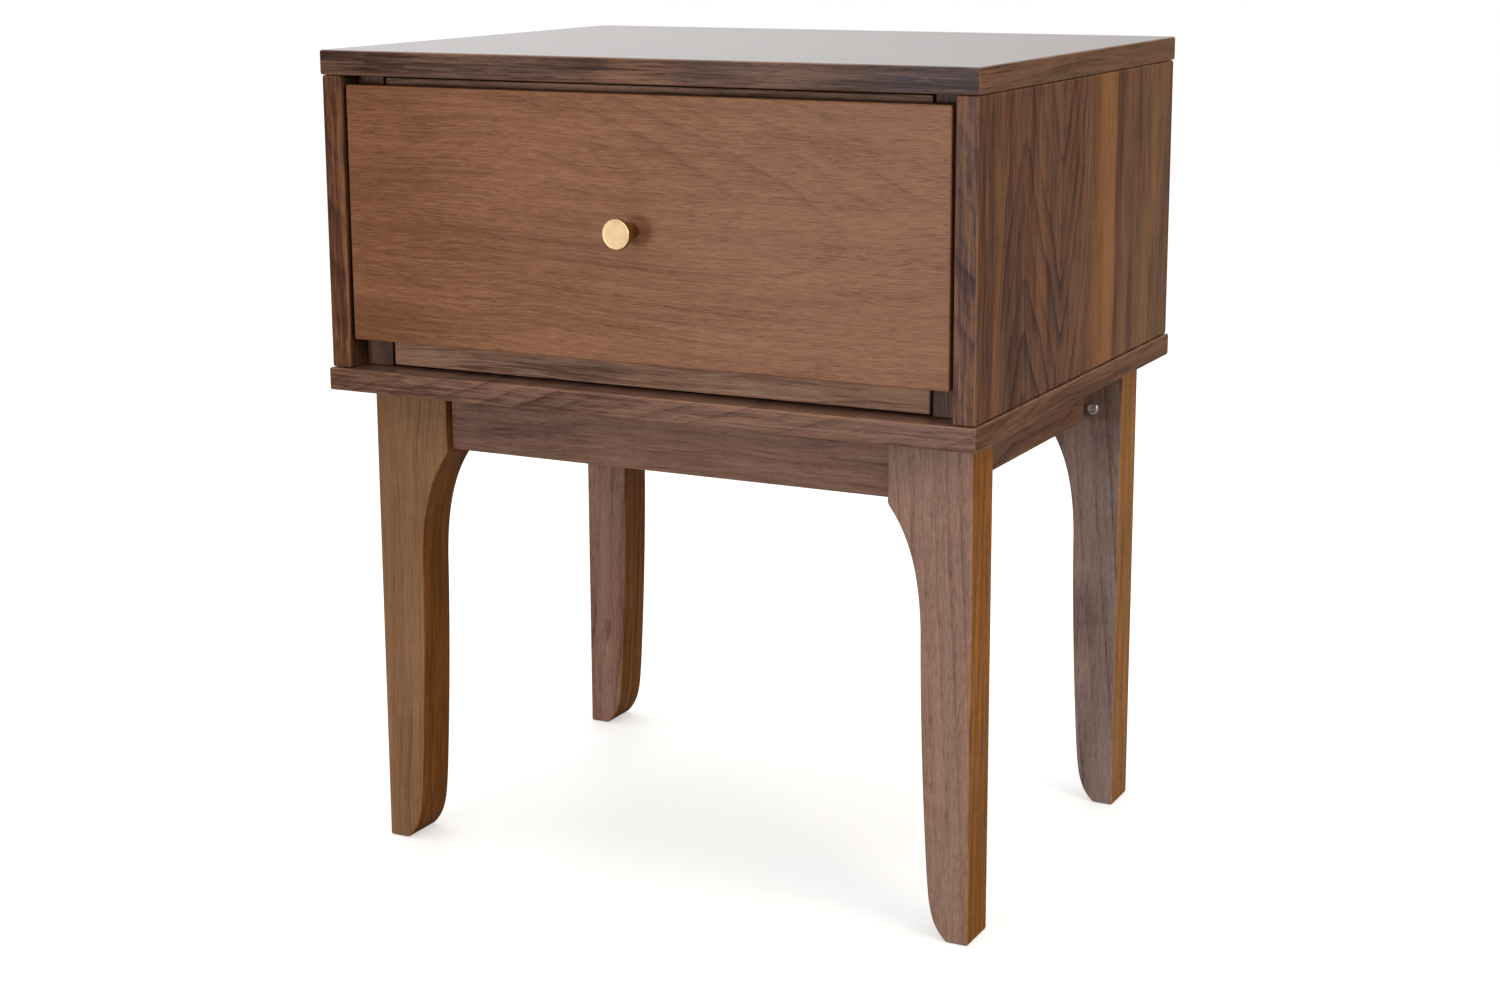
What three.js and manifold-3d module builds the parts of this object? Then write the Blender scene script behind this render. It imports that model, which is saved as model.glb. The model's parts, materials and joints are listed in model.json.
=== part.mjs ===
// A walnut bedside table with one drawer: an open-fronted case on a base of four shaped legs and four aprons.
// Millimetres, +Z up, the drawer opens towards -Y. The origin is on the floor, under the centre of the whole
// object's box, which runs from the knob's face at the front to the case's bottom panel at the back.

import * as THREE from 'three';
import { mergeVertices } from 'three/addons/utils/BufferGeometryUtils.js';
import Module from 'manifold-3d';

const wasm = await Module();
wasm.setup();

// ---------------------------------------------------------------- driving dimensions

const seam = 0.3; // glue line or fitting gap between two touching pieces

// case
const topWidth = 500;
const topDepth = 398;
const topThickness = 17.5;
const baseWidth = 502; // the bottom panel stands 1 mm proud of the top panel all round
const baseDepth = 400;
const baseThickness = 16.5;
const sideThickness = 16;
const sideInset = 0.5; // from the top panel's ends to the side panels' outer faces
const sideFrontInset = 1.5; // from the top panel's front edge to the side panels' front edges
const insideHeight = 210; // between the bottom panel and the top panel
const backThickness = 6;
const backInset = 6; // from the side panels' rear edges to the back panel
const panelEase = 1.6; // rounding of the panels' edges

// drawer
const frontHeight = 182;
const frontThickness = 19;
const frontFaceInset = 3; // the drawer front's face lies this far behind the top panel's front edge
const frontSideGap = 3; // between the drawer front and each side panel
const frontTopGap = 6.7; // between the drawer front and the top panel
const boxFrontHalfWidth = 209.5; // the box front covers the slides on both sides of the box
const boxFrontThickness = 15;
const boxHeight = 206;
const boxBottomGap = 1.5; // between the drawer box and the bottom panel
const boxDepth = 320;
const boxWall = 12;
const boxBottomThickness = 6;
const boxBottomHeight = 12; // from the box's lower edge to the underside of its bottom
const boxEase = 0.8;

// stiles and slides
const stileInner = 211.5; // half the width between the two front stiles
const stileDepth = 20;
const packerHeight = 60;
const slideLength = 300;
const slideHeight = 45;
const slideSpace = 12.7; // the width a ball-bearing slide needs
const slideCentreHeight = 72; // above the drawer box's lower edge
const steel = 1.2; // sheet the slides are rolled from
const ballGap = 1.8; // height left for the ball races between two members
const outerFlange = 10.4; // how far each member's flanges reach from its web
const middleFlange = 8.4;
const innerFlange = 7;

// base
const legHeight = 350;
const legThickness = 35;
const legOuter = 236; // from the centre line to each leg's outer edge
const legShoulder = 61.5; // the leg's width at the aprons
const frontLegSetback = 34; // from the top panel's front edge to the front legs
const rearLegSetback = 28; // from the top panel's rear edge to the rear legs
const legEase = 1.5;
const apronHeight = 45;
const apronThickness = 18;
const apronSetback = 6.5; // the front and rear aprons lie this far behind the legs' outer faces
const sideApronOuter = 206; // half the distance over the side aprons
const cornerBlockHeight = 30;
const cornerBlockReach = 30; // along each apron
const cornerBlockEnd = 8; // thickness left at the block's two ends

// knob
const knobRadius = 10.5;
const knobReach = 22;
const knobWaist = 5.4;

// fasteners
const screwClearance = 0.3;
const overrun = 1; // how far a hole or groove is cut past the face it opens on
const legBoltHeight = 315.5;
const legBoltOffset = 213; // from the centre line
const legBoltRadius = 3;
const legBoltLength = 26;
const legBoltHeadRadius = 4.7;
const legBoltHeadHeight = 2.6;
const legBoltSocketRadius = 2.3;
const legBoltSocketDepth = 2;

// ---------------------------------------------------------------- places worked out from them

const knobFaceFront = knobReach - frontFaceInset; // the knob's face stands this far in front of the top panel
const panelStep = (baseDepth - topDepth) / 2;
const face = (knobFaceFront - topDepth - panelStep) / 2; // Y of the top panel's front edge
const baseTop = legHeight + baseThickness;
const caseTop = baseTop + insideHeight;
const sideOuter = topWidth / 2 - sideInset;
const sideInner = sideOuter - sideThickness;
const sideFront = face + sideFrontInset;
const sideRear = face + topDepth - sideFrontInset;
const backFront = sideRear - backInset - backThickness;
const frontFace = face + frontFaceInset;
const boxFace = frontFace + frontThickness + seam;
const boxLow = baseTop + boxBottomGap;
const boxRear = boxFace + boxDepth;
const slideOuterFace = stileInner - seam;
const boxSideOuter = stileInner - slideSpace - seam;
const boxSideInner = boxSideOuter - boxWall;
const slideHeightCentre = boxLow + slideCentreHeight;
const slideFront = boxFace + boxFrontThickness + seam;
const frontLegFace = face + frontLegSetback;
const rearLegFace = face + topDepth - rearLegSetback;
const apronLow = legHeight - apronHeight;
const knobHeight = caseTop - frontTopGap - frontHeight / 2;

// ---------------------------------------------------------------- materials

const wood = (color, roughness = 0.45) => new THREE.MeshStandardMaterial({ color, roughness, metalness: 0 });
const metal = (color, roughness) => new THREE.MeshStandardMaterial({ color, roughness, metalness: 1 });

const materials = {
  casePanel: wood(0x6a4c3a),
  drawerFront: wood(0x8a5e46),
  innerFrame: wood(0x5c4234),
  leg: wood(0x8f7260),
  apron: wood(0x5f443a),
  boxWood: wood(0xb08d63, 0.6),
  plainWood: wood(0x9a8060, 0.7),
  brass: metal(0xe0bd86, 0.35),
  zinc: metal(0xc4c6c8, 0.35),
};

const table = new THREE.Group();

function place(name, geometry, material) {
  const mesh = new THREE.Mesh(geometry, material);
  mesh.name = name;
  table.add(mesh);
  return mesh;
}

// ---------------------------------------------------------------- shared shapes

function solid(geometry) {
  const bare = geometry.clone();
  bare.deleteAttribute('normal');
  bare.deleteAttribute('uv');
  const merged = mergeVertices(bare, 1e-4);
  const mesh = new wasm.Mesh({
    numProp: 3,
    vertProperties: new Float32Array(merged.attributes.position.array),
    triVerts: new Uint32Array(merged.index.array),
  });
  return new wasm.Manifold(mesh);
}

// The first geometry with all the others cut out of it.
function cut(body, tools) {
  const left = tools.reduce((rest, tool) => rest.subtract(solid(tool)), solid(body));
  const mesh = left.getMesh();
  const geometry = new THREE.BufferGeometry();
  geometry.setAttribute('position', new THREE.BufferAttribute(new Float32Array(mesh.vertProperties), 3));
  geometry.setIndex(new THREE.BufferAttribute(new Uint32Array(mesh.triVerts), 1));
  geometry.computeVertexNormals();
  return geometry;
}

// A board between two corners, with every edge rounded by ease.
function board([x0, x1], [y0, y1], [z0, z1], ease) {
  const corner = ease * 1.5;
  const outline = new THREE.Shape();
  outline.absarc(x1 - corner, y1 - corner, corner, 0, Math.PI / 2);
  outline.absarc(x0 + corner, y1 - corner, corner, Math.PI / 2, Math.PI);
  outline.absarc(x0 + corner, y0 + corner, corner, Math.PI, Math.PI * 1.5);
  outline.absarc(x1 - corner, y0 + corner, corner, Math.PI * 1.5, Math.PI * 2);
  const geometry = new THREE.ExtrudeGeometry(outline, {
    depth: z1 - z0 - 2 * ease,
    curveSegments: 2,
    bevelEnabled: true,
    bevelThickness: ease,
    bevelSize: ease,
    bevelOffset: -ease,
    bevelSegments: 2,
  });
  return geometry.translate(0, 0, z0 + ease);
}

function block([x0, x1], [y0, y1], [z0, z1]) {
  const geometry = new THREE.BoxGeometry(x1 - x0, y1 - y0, z1 - z0);
  return geometry.translate((x0 + x1) / 2, (y0 + y1) / 2, (z0 + z1) / 2);
}

// A span from inner to outer on the side that sign gives, lowest value first.
const span = (sign, inner, outer) => (sign > 0 ? [inner, outer] : [-outer, -inner]);

// A round bar along Y between two places, for holes.
function barAlongY(x, z, radius, y0, y1, segments = 16) {
  return new THREE.CylinderGeometry(radius, radius, y1 - y0, segments).translate(x, (y0 + y1) / 2, z);
}

// A pan-head screw whose head rests on the origin and stands towards +Y; its point is length away towards -Y.
function screwGeometry({ radius, length, point, headRadius, headHeight }) {
  const profile = [
    [0, -length],
    [radius, -length + point],
    [radius, 0],
    [headRadius, 0],
    [headRadius, headHeight * 0.45],
    [headRadius * 0.72, headHeight * 0.9],
    [0, headHeight],
  ];
  return new THREE.LatheGeometry(profile.map(([r, y]) => new THREE.Vector2(r, y)), 16);
}

const sides = [
  ['left', -1],
  ['right', 1],
];

// ---------------------------------------------------------------- fasteners' places

const panHead = { headRadius: 4.2, headHeight: 2.4 };
const frontScrew = { ...panHead, headRadius: 4, radius: 1.9, length: 27, point: 5, x: 140, rise: 58 };
const knobScrew = { ...panHead, radius: 2, length: 46, point: 1 };
const blockScrew = { ...panHead, radius: 2.1, length: 40, point: 5, fromLeg: 5, fromLegFace: 8 };

const boxFrontInside = boxFace + boxFrontThickness;
const screwSeat = boxFrontInside + seam;

const frontScrews = [
  ['drawer_front_screw_lower_left', -frontScrew.x, knobHeight - frontScrew.rise],
  ['drawer_front_screw_lower_right', frontScrew.x, knobHeight - frontScrew.rise],
  ['drawer_front_screw_upper_left', -frontScrew.x, knobHeight + frontScrew.rise],
  ['drawer_front_screw_upper_right', frontScrew.x, knobHeight + frontScrew.rise],
];

// A hole for a screw that is driven from the box's inside towards the front.
function frontScrewHole(x, z, screw) {
  const tip = screwSeat - screw.length - screwClearance;
  return barAlongY(x, z, screw.radius + screwClearance, tip, screwSeat + overrun);
}

// ---------------------------------------------------------------- case

const cornerScrews = []; // X, Y of the screws that hold the case on the base

function addCase() {
  const top = board(
    [-topWidth / 2, topWidth / 2],
    [face, face + topDepth],
    [caseTop, caseTop + topThickness],
    panelEase,
  );
  place('top_panel', top, materials.casePanel);

  const base = board(
    [-baseWidth / 2, baseWidth / 2],
    [face - panelStep, face - panelStep + baseDepth],
    [legHeight, baseTop],
    panelEase,
  );
  const pilotTop = legHeight + blockScrew.length - cornerBlockHeight + seam;
  const pilots = cornerScrews.map(([x, y]) => {
    const pilot = new THREE.CylinderGeometry(
      blockScrew.radius + screwClearance,
      blockScrew.radius + screwClearance,
      pilotTop - legHeight + overrun,
      16,
    );
    return pilot.rotateX(Math.PI / 2).translate(x, y, (pilotTop + legHeight - overrun) / 2);
  });
  place('bottom_panel', cut(base, pilots), materials.casePanel);

  for (const [name, sign] of sides) {
    const height = [baseTop + seam, caseTop - seam];
    const panel = board(span(sign, sideInner, sideOuter), [sideFront, sideRear], height, panelEase);
    place(`side_panel_${name}`, panel, materials.casePanel);

    const stileSpan = span(sign, stileInner, sideInner - seam);
    const stile = board(stileSpan, [boxFace, boxFace + stileDepth], height, boxEase);
    place(`front_stile_${name}`, stile, materials.innerFrame);

    const packerLow = slideHeightCentre - packerHeight / 2;
    const packer = block(
      stileSpan,
      [boxFace + stileDepth + seam, backFront - seam],
      [packerLow, packerLow + packerHeight],
    );
    place(`slide_packer_${name}`, packer, materials.plainWood);
  }

  const back = block(
    [-sideInner + seam, sideInner - seam],
    [backFront, backFront + backThickness],
    [baseTop + seam, caseTop - seam],
  );
  place('back_panel', back, materials.innerFrame);
}

// ---------------------------------------------------------------- drawer slides

// A rolled channel along Y: its web stands at webX and its two flanges reach reach from it, to the side dir.
function channel(webX, dir, reach, height, lowY, length) {
  const half = height / 2;
  const points = [
    [0, -half],
    [reach, -half],
    [reach, -half + steel],
    [steel, -half + steel],
    [steel, half - steel],
    [reach, half - steel],
    [reach, half],
    [0, half],
  ];
  const placed = points.map(([x, z]) => new THREE.Vector2(webX + dir * x, slideHeightCentre + z));
  const outline = new THREE.Shape(placed);
  const geometry = new THREE.ExtrudeGeometry(outline, { depth: length, bevelEnabled: false });
  return geometry.rotateX(Math.PI / 2).translate(0, lowY + length, 0);
}

function addSlides() {
  const middleHeight = slideHeight - 2 * (steel + ballGap);
  const innerHeight = middleHeight - 2 * (steel + ballGap);
  for (const [name, sign] of sides) {
    const outerWeb = sign * slideOuterFace;
    const middleWeb = sign * (slideOuterFace - 2 * steel);
    const innerWeb = sign * (boxSideOuter + seam);
    const outer = channel(outerWeb, -sign, outerFlange, slideHeight, slideFront, slideLength);
    const middle = channel(middleWeb, -sign, middleFlange, middleHeight, slideFront, slideLength);
    const inner = channel(innerWeb, sign, innerFlange, innerHeight, slideFront, slideLength);
    place(`slide_outer_${name}`, outer, materials.zinc);
    place(`slide_middle_${name}`, middle, materials.zinc);
    place(`slide_inner_${name}`, inner, materials.zinc);
  }
}

// ---------------------------------------------------------------- drawer

function addDrawer() {
  const holes = frontScrews.map(([, x, z]) => frontScrewHole(x, z, frontScrew));
  const knobHoleRadius = knobScrew.radius + screwClearance;
  const knobHole = barAlongY(0, knobHeight, knobHoleRadius, frontFace - overrun, boxFrontInside + overrun);

  const halfWidth = sideInner - frontSideGap;
  const low = caseTop - frontTopGap - frontHeight;
  const front = board(
    [-halfWidth, halfWidth],
    [frontFace, frontFace + frontThickness],
    [low, low + frontHeight],
    panelEase,
  );
  place('drawer_front', cut(front, [...holes, knobHole]), materials.drawerFront);

  // The bottom lies in grooves in the box's front and sides; the back stands on it.
  const grooveDepth = boxWall / 2;
  const bottomLow = boxLow + boxBottomHeight;
  const groove = [bottomLow - seam, bottomLow + boxBottomThickness + seam];
  const boxTop = boxLow + boxHeight;
  const sideFrontEnd = boxFrontInside + seam;

  const boxFront = board(
    [-boxFrontHalfWidth, boxFrontHalfWidth],
    [boxFace, boxFrontInside],
    [boxLow, boxTop],
    boxEase,
  );
  const frontGroove = block(
    [-boxSideInner - grooveDepth, boxSideInner + grooveDepth],
    [boxFrontInside - grooveDepth, boxFrontInside + overrun],
    groove,
  );
  place('drawer_box_front', cut(boxFront, [...holes, knobHole, frontGroove]), materials.innerFrame);

  for (const [name, sign] of sides) {
    const thickness = span(sign, boxSideInner, boxSideOuter);
    const wall = board(thickness, [sideFrontEnd, boxRear], [boxLow, boxTop], boxEase);
    const sideGroove = block(
      span(sign, boxSideInner - overrun, boxSideInner + grooveDepth),
      [sideFrontEnd - overrun, boxRear + overrun],
      groove,
    );
    place(`drawer_box_side_${name}`, cut(wall, [sideGroove]), materials.boxWood);
  }

  const back = board(
    [-boxSideInner + seam, boxSideInner - seam],
    [boxRear - boxWall, boxRear],
    [groove[1], boxTop],
    boxEase,
  );
  place('drawer_box_back', back, materials.boxWood);

  const bottomHalf = boxSideInner + grooveDepth - seam;
  const bottom = block(
    [-bottomHalf, bottomHalf],
    [boxFrontInside - grooveDepth + seam, boxRear - seam],
    [bottomLow, bottomLow + boxBottomThickness],
  );
  place('drawer_box_bottom', bottom, materials.boxWood);

  for (const [name, x, z] of frontScrews) {
    place(name, screwGeometry(frontScrew).translate(x, screwSeat, z), materials.zinc);
  }
}

// A flat-faced knob that narrows towards the drawer, held by a screw from inside the box.
function addKnob() {
  const socketDepth = 13;
  const socketRadius = knobScrew.radius + screwClearance;
  const rim = 0.7;
  const profile = new THREE.Path();
  profile.moveTo(0, socketDepth);
  profile.lineTo(socketRadius, socketDepth);
  profile.lineTo(socketRadius, seam);
  profile.lineTo(knobWaist, seam);
  profile.bezierCurveTo(knobWaist - 0.3, 8, knobRadius - 1.6, 13, knobRadius - 0.2, knobReach - 4);
  profile.lineTo(knobRadius, knobReach - 2.6);
  profile.lineTo(knobRadius, knobReach - rim);
  profile.lineTo(knobRadius - rim, knobReach);
  profile.lineTo(0, knobReach);
  const knob = new THREE.LatheGeometry(profile.getPoints(5), 40);
  place('knob', knob.rotateX(Math.PI).translate(0, frontFace, knobHeight), materials.brass);

  place('knob_screw', screwGeometry(knobScrew).translate(0, screwSeat, knobHeight), materials.zinc);
}

// ---------------------------------------------------------------- base

// The leg's outline seen from the front: straight outside, a shoulder at the aprons, a hollow below it,
// a slow taper to the ankle and a rounded toe. Distances run inwards from the leg's outer edge.
function legOutline(sign) {
  const at = (inwards, z) => [sign * (legOuter - inwards), z];
  const outline = new THREE.Shape();
  outline.moveTo(...at(0, 0));
  outline.lineTo(...at(0, legHeight - seam));
  outline.lineTo(...at(legShoulder, legHeight - seam));
  outline.lineTo(...at(legShoulder, apronLow - 0.5));
  outline.quadraticCurveTo(...at(legShoulder, apronLow - 2.5), ...at(legShoulder - 1.3, apronLow - 4.5));
  outline.bezierCurveTo(...at(44, 279.5), ...at(36.7, 250), ...at(37, 206));
  outline.quadraticCurveTo(...at(36, 127), ...at(31, 48));
  outline.bezierCurveTo(...at(29.2, 25), ...at(28.5, 11), ...at(16, 0));
  return outline;
}

const legRows = [
  ['front', frontLegFace, 1],
  ['rear', rearLegFace - legThickness, -1],
];

function addLegs() {
  for (const [row, lowY, inward] of legRows) {
    for (const [name, sign] of sides) {
      const geometry = new THREE.ExtrudeGeometry(legOutline(sign), {
        depth: legThickness - 2 * legEase,
        curveSegments: 9,
        bevelEnabled: true,
        bevelThickness: legEase,
        bevelSize: legEase,
        bevelOffset: -legEase,
        bevelSegments: 2,
      });
      geometry.rotateX(Math.PI / 2).translate(0, lowY + legThickness - legEase, 0);
      const innerFace = inward > 0 ? lowY + legThickness : lowY;
      const x = sign * legBoltOffset;
      const ends = [innerFace + inward * overrun, innerFace - inward * (legBoltLength + screwClearance)];
      const holeRadius = legBoltRadius + screwClearance;
      const hole = barAlongY(x, legBoltHeight, holeRadius, Math.min(...ends), Math.max(...ends));
      place(`leg_${row}_${name}`, cut(geometry, [hole]), materials.leg);

      const bolt = legBolt();
      if (inward < 0) bolt.rotateX(Math.PI);
      bolt.translate(x, innerFace + inward * seam, legBoltHeight);
      place(`leg_bolt_${row}_${name}`, bolt, materials.zinc);
    }
  }
}

// A bolt with a low round head and a hexagon socket, its head standing towards +Y from the origin.
function legBolt() {
  const profile = [
    [0, -legBoltLength],
    [legBoltRadius - 0.6, -legBoltLength],
    [legBoltRadius, -legBoltLength + 0.8],
    [legBoltRadius, 0],
    [legBoltHeadRadius, 0],
    [legBoltHeadRadius, legBoltHeadHeight - 1],
    [legBoltHeadRadius - 0.9, legBoltHeadHeight],
    [0, legBoltHeadHeight],
  ];
  const body = new THREE.LatheGeometry(profile.map(([r, y]) => new THREE.Vector2(r, y)), 24);
  const twiceDepth = 2 * legBoltSocketDepth;
  const socket = new THREE.CylinderGeometry(legBoltSocketRadius, legBoltSocketRadius, twiceDepth, 6);
  return cut(body, [socket.translate(0, legBoltHeadHeight, 0)]);
}

function addAprons() {
  const height = [apronLow, legHeight - seam];
  const between = legOuter - legShoulder - seam;
  const frontY = frontLegFace + apronSetback;
  const rearY = rearLegFace - apronSetback;
  place(
    'apron_front',
    board([-between, between], [frontY, frontY + apronThickness], height, boxEase),
    materials.apron,
  );
  place(
    'apron_rear',
    board([-between, between], [rearY - apronThickness, rearY], height, boxEase),
    materials.apron,
  );
  for (const [name, sign] of sides) {
    const across = span(sign, sideApronOuter - apronThickness, sideApronOuter);
    const along = [frontLegFace + legThickness + seam, rearLegFace - legThickness - seam];
    place(`apron_${name}`, board(across, along, height, boxEase), materials.apron);
  }
}

// Glue blocks across the base's inner corners, each with a screw up into the bottom panel.
function addCornerBlocks() {
  const legEdge = legOuter - legShoulder;
  const apronInner = sideApronOuter - apronThickness;
  for (const [row, lowY, inward] of legRows) {
    const legInnerFace = inward > 0 ? lowY + legThickness : lowY;
    const apronInnerFace = legInnerFace - inward * (legThickness - apronSetback - apronThickness);
    for (const [name, sign] of sides) {
      const corner = [
        [apronInner - seam, legInnerFace + inward * seam],
        [legEdge - seam, legInnerFace + inward * seam],
        [legEdge - seam, apronInnerFace + inward * seam],
        [legEdge - cornerBlockReach, apronInnerFace + inward * seam],
        [legEdge - cornerBlockReach, apronInnerFace + inward * cornerBlockEnd],
        [apronInner - seam - cornerBlockEnd, legInnerFace + inward * cornerBlockReach],
        [apronInner - seam, legInnerFace + inward * cornerBlockReach],
      ];
      const outline = new THREE.Shape(corner.map(([x, y]) => new THREE.Vector2(sign * x, y)));
      const x = sign * (legEdge - blockScrew.fromLeg);
      const y = legInnerFace + inward * blockScrew.fromLegFace;
      const hole = new THREE.Path();
      hole.absarc(x, y, blockScrew.radius + screwClearance, 0, Math.PI * 2);
      outline.holes.push(hole);
      const low = legHeight - seam - cornerBlockHeight;
      const geometry = new THREE.ExtrudeGeometry(outline, {
        depth: cornerBlockHeight,
        curveSegments: 12,
        bevelEnabled: false,
      });
      place(`corner_block_${row}_${name}`, geometry.translate(0, 0, low), materials.plainWood);

      const screw = screwGeometry(blockScrew);
      screw.rotateX(-Math.PI / 2).translate(x, y, low - seam);
      place(`corner_screw_${row}_${name}`, screw, materials.zinc);
      cornerScrews.push([x, y]);
    }
  }
}

addLegs();
addAprons();
addCornerBlocks();
addCase();
addSlides();
addDrawer();
addKnob();

export default table;
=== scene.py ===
"""A walnut bedside table with one drawer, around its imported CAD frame. Metres, +Z up, front towards -Y."""

import json
import math

import bmesh
import bpy
from mathutils import Matrix, Vector


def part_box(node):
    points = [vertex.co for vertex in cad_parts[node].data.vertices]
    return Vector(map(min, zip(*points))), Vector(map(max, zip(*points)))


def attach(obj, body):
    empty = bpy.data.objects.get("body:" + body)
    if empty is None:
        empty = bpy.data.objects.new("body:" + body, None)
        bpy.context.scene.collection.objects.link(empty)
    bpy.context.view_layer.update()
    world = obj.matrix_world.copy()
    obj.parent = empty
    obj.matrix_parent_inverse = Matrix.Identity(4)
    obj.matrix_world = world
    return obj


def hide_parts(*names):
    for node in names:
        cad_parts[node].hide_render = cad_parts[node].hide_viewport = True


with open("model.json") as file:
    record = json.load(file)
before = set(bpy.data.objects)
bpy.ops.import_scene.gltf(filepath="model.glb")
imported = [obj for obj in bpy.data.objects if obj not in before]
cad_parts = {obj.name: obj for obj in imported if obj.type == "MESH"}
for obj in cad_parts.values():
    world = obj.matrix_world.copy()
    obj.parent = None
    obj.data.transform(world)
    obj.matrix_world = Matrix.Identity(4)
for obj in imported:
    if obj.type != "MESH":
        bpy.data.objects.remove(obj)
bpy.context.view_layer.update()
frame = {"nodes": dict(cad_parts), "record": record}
nodes = frame["nodes"]

MM = 0.001
PANEL_EASE = 1.6 * MM
LEG_EASE = 1.5 * MM
FINE_EASE = 0.8 * MM
SIDES = (("left", -1), ("right", 1))
ROWS = ("front", "rear")


# ---------------------------------------------------------------- materials: a small node writer


def srgb(red, green, blue):
    """A colour given as 0 to 255 display values, as the linear colour that a shader needs."""

    def linear(value):
        value /= 255
        return value / 12.92 if value <= 0.04045 else ((value + 0.055) / 1.055) ** 2.4

    return (linear(red), linear(green), linear(blue), 1.0)


class Graph:
    """One material and short names for the nodes that it is made of."""

    def __init__(self, name):
        self.material = bpy.data.materials.new(name)
        self.material.use_nodes = True
        self.tree = self.material.node_tree
        self.tree.nodes.clear()
        self.shader = self.tree.nodes.new("ShaderNodeBsdfPrincipled")
        output = self.tree.nodes.new("ShaderNodeOutputMaterial")
        self.tree.links.new(self.shader.outputs["BSDF"], output.inputs["Surface"])
        self.position = self.tree.nodes.new("ShaderNodeTexCoord").outputs["Object"]

    def put(self, socket, value):
        if isinstance(value, bpy.types.NodeSocket):
            self.tree.links.new(value, socket)
        else:
            socket.default_value = value

    def surface(self, **values):
        for name, value in values.items():
            self.put(self.shader.inputs[name.replace("_", " ")], value)

    def math(self, operation, *values, clamp=False):
        node = self.tree.nodes.new("ShaderNodeMath")
        node.operation = operation
        node.use_clamp = clamp
        for socket, value in zip(node.inputs, values):
            self.put(socket, value)
        return node.outputs[0]

    def split(self, vector):
        node = self.tree.nodes.new("ShaderNodeSeparateXYZ")
        self.put(node.inputs[0], vector)
        return list(node.outputs)

    def join(self, x, y, z):
        node = self.tree.nodes.new("ShaderNodeCombineXYZ")
        for socket, value in zip(node.inputs, (x, y, z)):
            self.put(socket, value)
        return node.outputs[0]

    def stretch(self, vector, scale, offset=(0, 0, 0)):
        node = self.tree.nodes.new("ShaderNodeVectorMath")
        node.operation = "MULTIPLY_ADD"
        self.put(node.inputs[0], vector)
        self.put(node.inputs[1], scale)
        self.put(node.inputs[2], offset)
        return node.outputs[0]

    def noise(self, vector, scale=(1, 1, 1), offset=(0, 0, 0), detail=2.0, roughness=0.5, distortion=0.0):
        node = self.tree.nodes.new("ShaderNodeTexNoise")
        self.put(node.inputs["Vector"], self.stretch(vector, scale, offset))
        node.inputs["Scale"].default_value = 1.0
        node.inputs["Detail"].default_value = detail
        node.inputs["Roughness"].default_value = roughness
        node.inputs["Distortion"].default_value = distortion
        return node.outputs[0]

    def ramp(self, factor, stops, interpolation="LINEAR"):
        """stops are (place from 0 to 1, colour or grey number)."""
        node = self.tree.nodes.new("ShaderNodeValToRGB")
        node.color_ramp.interpolation = interpolation
        elements = node.color_ramp.elements
        while len(elements) < len(stops):
            elements.new(0.5)
        for element, (place, colour) in zip(elements, stops):
            element.position = place
            element.color = colour if isinstance(colour, tuple) else (colour, colour, colour, 1)
        self.put(node.inputs[0], factor)
        return node.outputs[0]

    def range(self, value, low, high, new_low=0.0, new_high=1.0):
        node = self.tree.nodes.new("ShaderNodeMapRange")
        node.clamp = True
        node.interpolation_type = "SMOOTHSTEP"
        for socket, number in zip(node.inputs, (value, low, high, new_low, new_high)):
            self.put(socket, number)
        return node.outputs[0]

    def range_linear(self, value, low, high):
        node = self.tree.nodes.new("ShaderNodeMapRange")
        node.clamp = True
        for socket, number in zip(node.inputs, (value, low, high, 0.0, 1.0)):
            self.put(socket, number)
        return node.outputs[0]

    def mix(self, factor, first, second):
        node = self.tree.nodes.new("ShaderNodeMix")
        node.data_type = "RGBA"
        self.put(node.inputs["Factor"], factor)
        self.put(node.inputs[6], first)
        self.put(node.inputs[7], second)
        return node.outputs[2]

    def shade(self, colour, brightness):
        """The colour times a number."""
        node = self.tree.nodes.new("ShaderNodeVectorMath")
        node.operation = "SCALE"
        self.put(node.inputs[0], colour[:3] if isinstance(colour, tuple) else colour)
        self.put(node.inputs["Scale"], brightness)
        return node.outputs[0]

    def attribute(self, name):
        node = self.tree.nodes.new("ShaderNodeAttribute")
        node.attribute_name = name
        return node.outputs["Fac"]

    def bump(self, height, strength, distance, normal=None):
        node = self.tree.nodes.new("ShaderNodeBump")
        node.inputs["Strength"].default_value = strength
        node.inputs["Distance"].default_value = distance
        self.put(node.inputs["Height"], height)
        if normal is not None:
            self.put(node.inputs["Normal"], normal)
        return node.outputs[0]


# ---------------------------------------------------------------- materials: walnut

PORE = srgb(34, 22, 16)
# the colour of the rounded edges: partly wear, partly a painted highlight
WORN_AND_HIGHLIT_EDGE = srgb(168, 122, 88)

# how far each layer of the pattern moves a board's brightness when the board's own setting is 1
CLOUD_SHARE = 1.5
STREAK_SHARE = 1.2
FIBRE_SHARE = 1.6
DASH_SHARE = 0.3
RING_BALANCE = 0.25


def log_rings(heart_across, heart_through, tilt, gap, drift=0.0):
    """Growth rings of a log that lies along the board, with gap from one ring to the next.

    Its centre line passes through the two heart places, one across the board and one through it. It tilts
    through the board and drifts across it.
    """

    def count(g, u, v, w):
        side = g.math("MULTIPLY_ADD", u, -drift, g.math("SUBTRACT", v, heart_across))
        below = g.math("MULTIPLY_ADD", u, -tilt, g.math("SUBTRACT", w, heart_through))
        squares = g.math("ADD", g.math("MULTIPLY", side, side), g.math("MULTIPLY", below, below))
        return g.math("DIVIDE", g.math("SQRT", squares), gap)

    return count


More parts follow.
